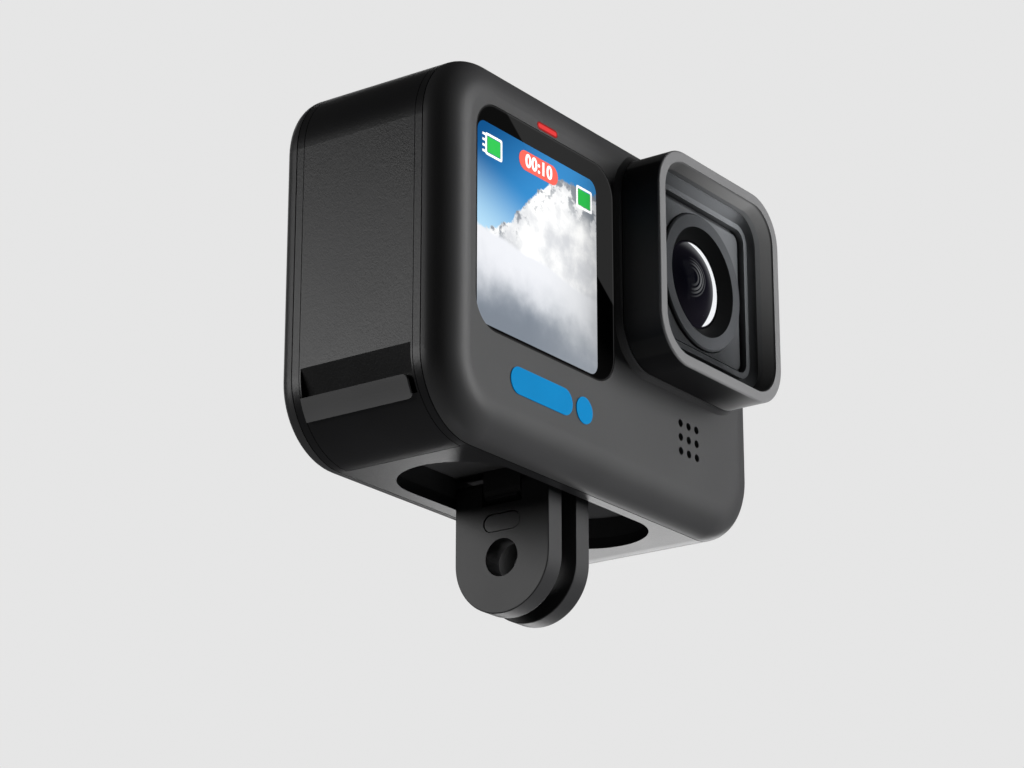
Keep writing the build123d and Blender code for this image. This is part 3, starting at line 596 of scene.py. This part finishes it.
def settle(piece, finish, body):
    # a curve or text becomes a mesh whose place is in its points
    bpy.ops.object.select_all(action="DESELECT")
    piece.select_set(True)
    bpy.context.view_layer.objects.active = piece
    bpy.ops.object.convert(target="MESH")
    piece = bpy.context.object
    bpy.ops.object.transform_apply(location=True, rotation=True, scale=True)
    piece.data.materials.clear()
    piece.data.materials.append(finish.material)
    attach(piece, body)
    return piece


def addOutline(data, left, right, bottom, top, corner, steps):
    # one closed rounded rectangle, drawn corner by corner from the top right
    points = []
    corners = (
        (right - corner, top - corner, 0), (left + corner, top - corner, 90),
        (left + corner, bottom + corner, 180), (right - corner, bottom + corner, 270),
    )
    for inX, inZ, start in corners:
        for k in range(steps + 1):
            turn = radians(start + 90 * k / steps)
            points.append((inX + corner * cos(turn), inZ + corner * sin(turn)))
    addLoop(data, points)


def addLoop(data, points):
    spline = data.splines.new("POLY")
    spline.points.add(len(points) - 1)
    for point, (x, z) in zip(spline.points, points):
        point.co = (x, z, 0, 1)
    spline.use_cyclic_u = True


inks = {
    "inkWhite": (0.9, 0.9, 0.9),
    "inkGreen": (0.02, 0.40, 0.06),
    "inkRed": (0.72, 0.10, 0.075),
}
inkLook = {"glow": 0.9, "rough": 0.2, "shade": 0.96, "dimmed": 0.5}


def glowInk(name):
    finish = Finish(name, Roughness=inkLook["rough"], Emission_Strength=inkLook["glow"])
    shade = finish.mix(finish.noise(900, 2), shaded(inks[name], inkLook["shade"]), inks[name])
    finish.set(Base_Color=finish.mix(inkLook["dimmed"], black, shade), Emission_Color=shade)
    return finish


inkWhite = glowInk("inkWhite")
inkGreen = glowInk("inkGreen")
inkRed = glowInk("inkRed")

# the timer's ends turn a hair short of half its height, so that their points don't meet
timer = {
    "left": -0.0207, "right": -0.0121, "middle": 0.0468, "height": 0.0027, "cornerSteps": 12,
    "cornerShare": 0.999, "text": "00:10", "type": 0.0025, "spacing": 1.08, "weight": 0.00008,
}


def makeTimer(look):
    half = look["height"] / 2

    def pill(data):
        bottom, top = look["middle"] - half, look["middle"] + half
        corner = half * look["cornerShare"]
        addOutline(data, look["left"], look["right"], bottom, top, corner, look["cornerSteps"])

    flatPiece("timerPill", pill, 1, inkRed)
    words = bpy.data.curves.new("timerDigits", "FONT")
    words.body = look["text"]
    words.size = look["type"]
    words.extrude = overlay["thick"] / 2
    words.space_character = look["spacing"]
    words.align_x = "CENTER"
    words.align_y = "CENTER"
    words.offset = look["weight"]
    digits = bpy.data.objects.new("timerDigits", words)
    bpy.context.scene.collection.objects.link(digits)
    digits.rotation_euler = (radians(90), 0, 0)
    onPill = lowWindow[1] - overlay["lift"] - 2 * overlay["thick"]
    digits.location = ((look["left"] + look["right"]) / 2, onPill, look["middle"])
    settle(digits, inkWhite, "camera_body")


makeTimer(timer)

gauges = {
    "leftGauge": {"left": -0.0280, "right": -0.0244, "bottom": 0.0447, "top": 0.0477, "teeth": 4},
    "rightGauge": {"left": -0.0079, "right": -0.0043, "bottom": 0.0443, "top": 0.0474, "teeth": 0},
}
gaugeLook = {
    "line": 0.00032, "outerCorner": 0.0003, "innerCorner": 0.0002, "chargeCorner": 0.0001,
    "chargeGap": 0.00012, "cornerSteps": 3, "toothLong": 0.0006, "toothGap": 0.00003, "toothFoot": 0.0002,
    "toothPitch": 1.8, "toothTall": 0.7, "toothShares": 7,
}


def makeGauge(name, left, right, bottom, top, teeth):
    look = gaugeLook
    line, steps = look["line"], look["cornerSteps"]

    def frameLine(data):
        addOutline(data, left, right, bottom, top, look["outerCorner"], steps)
        addOutline(data, left + line, right - line, bottom + line, top - line, look["innerCorner"], steps)
        share = (top - bottom) / look["toothShares"]
        tip, root = left - look["toothLong"], left - look["toothGap"]
        for k in range(teeth):
            low = bottom + look["toothFoot"] + k * look["toothPitch"] * share
            high = low + look["toothTall"] * share
            addLoop(data, [(tip, low), (root, low), (root, high), (tip, high)])

    def charge(data):
        inset = line + look["chargeGap"]
        addOutline(data, left + inset, right - inset, bottom + inset, top - inset, look["chargeCorner"],
                   steps)

    flatPiece(name + "Frame", frameLine, 1, inkWhite)
    flatPiece(name + "Charge", charge, 1, inkGreen)


for name, place in gauges.items():
    makeGauge(name, **place)
print("screen done")

# the floor, far below so that the camera can look up from under the object, and the even backdrop
stageLook = {
    "floorZ": -0.52, "floorSize": 6, "paperDark": (0.77, 0.77, 0.77), "paperLight": (0.79, 0.79, 0.79),
    "paperDimmed": 0.98, "backdrop": 0.79, "fill": 0.03,
}


def makeStage(look):
    bpy.ops.object.select_all(action="DESELECT")
    bpy.ops.mesh.primitive_plane_add(size=look["floorSize"], location=(0, 0, look["floorZ"]))
    floor = bpy.context.object
    floor.name = "paleFloor"
    bpy.ops.object.transform_apply(location=True, rotation=True, scale=True)
    finish = Finish("palePaper", Roughness=0.9, Specular_IOR_Level=0.0, Emission_Strength=1.0)
    paper = finish.mix(finish.noise(3), look["paperDark"], look["paperLight"])
    finish.set(Base_Color=finish.mix(look["paperDimmed"], paper, black), Emission_Color=paper)
    floor.data.materials.append(finish.material)
    floor.visible_glossy = False
    floor.visible_diffuse = False
    world = bpy.data.worlds.new("studio")
    bpy.context.scene.world = world
    world.use_nodes = True
    tree = world.node_tree
    seen = Wire(tree, tree.nodes.new("ShaderNodeLightPath").outputs["Is Camera Ray"])
    back = tree.nodes["Background"]
    level = mathsNode(tree, "MULTIPLY_ADD", (seen, look["backdrop"] - look["fill"], look["fill"]))
    plug(tree, back.inputs["Strength"], level)
    plug(tree, back.inputs["Color"], white)


makeStage(stageLook)

# soft boxes round the object; those with no gloss only fill
lights = {
    "frontBox": {"towards": (0.50, -0.81, 0.29), "distance": 0.6, "size": (0.14, 0.42), "radiance": 6.0},
    "keyRight": {
        "towards": (0.76, -0.62, 0.10), "distance": 0.6, "size": (0.3, 0.3), "radiance": 26.0,
        "glossy": False,
    },
    "sideBox": {"towards": (-0.768, 0.60, 0.185), "distance": 0.5, "size": (0.42, 0.18), "radiance": 2.9},
    "backGlow": {"towards": (0.55, 0.74, 0.42), "distance": 1.0, "size": (0.8, 0.6), "radiance": 0.6},
    "pocketFill": {
        "towards": (0.12, -0.05, -1.0), "distance": 0.5, "size": (0.2, 0.2), "radiance": 14.0,
        "glossy": False,
    },
    "lowBox": {"towards": (0.90, 0.40, -0.25), "distance": 0.5, "size": (0.26, 0.22), "radiance": 2.6},
}
lightsAimAt = Vector((0, 0, 0.03))


def makeLight(name, towards, distance, size, radiance, glossy=True):
    data = bpy.data.lights.new(name, "AREA")
    data.shape = "RECTANGLE"
    data.size, data.size_y = size
    data.energy = radiance * pi * size[0] * size[1]
    softBox = bpy.data.objects.new(name, data)
    bpy.context.scene.collection.objects.link(softBox)
    softBox.visible_camera = False
    softBox.visible_glossy = glossy
    ray = Vector(towards).normalized()
    softBox.location = lightsAimAt + ray * distance
    softBox.rotation_euler = ray.to_track_quat("Z", "Y").to_euler()


for name, look in lights.items():
    makeLight(name, **look)
print("stage and lights done")

# the view from the lower left; turn and tilt in degrees, lens and sensor in millimetres
view = {
    "place": (-0.31103, -0.22187, -0.10687), "turn": 54.3, "tilt": 19.03, "lens": 106.95, "sensor": 36,
    "near": 0.01, "far": 20,
}


def makeCamera(look):
    data = bpy.data.cameras.new("view")
    data.lens = look["lens"]
    data.sensor_width = look["sensor"]
    data.clip_start = look["near"]
    data.clip_end = look["far"]
    camera = bpy.data.objects.new("view", data)
    bpy.context.scene.collection.objects.link(camera)
    camera.location = look["place"]
    camera.rotation_euler = (radians(90 + look["tilt"]), 0, radians(-look["turn"]))
    bpy.context.scene.camera = camera


makeCamera(view)
bpy.context.scene.view_settings.view_transform = "Standard"
print("camera done")
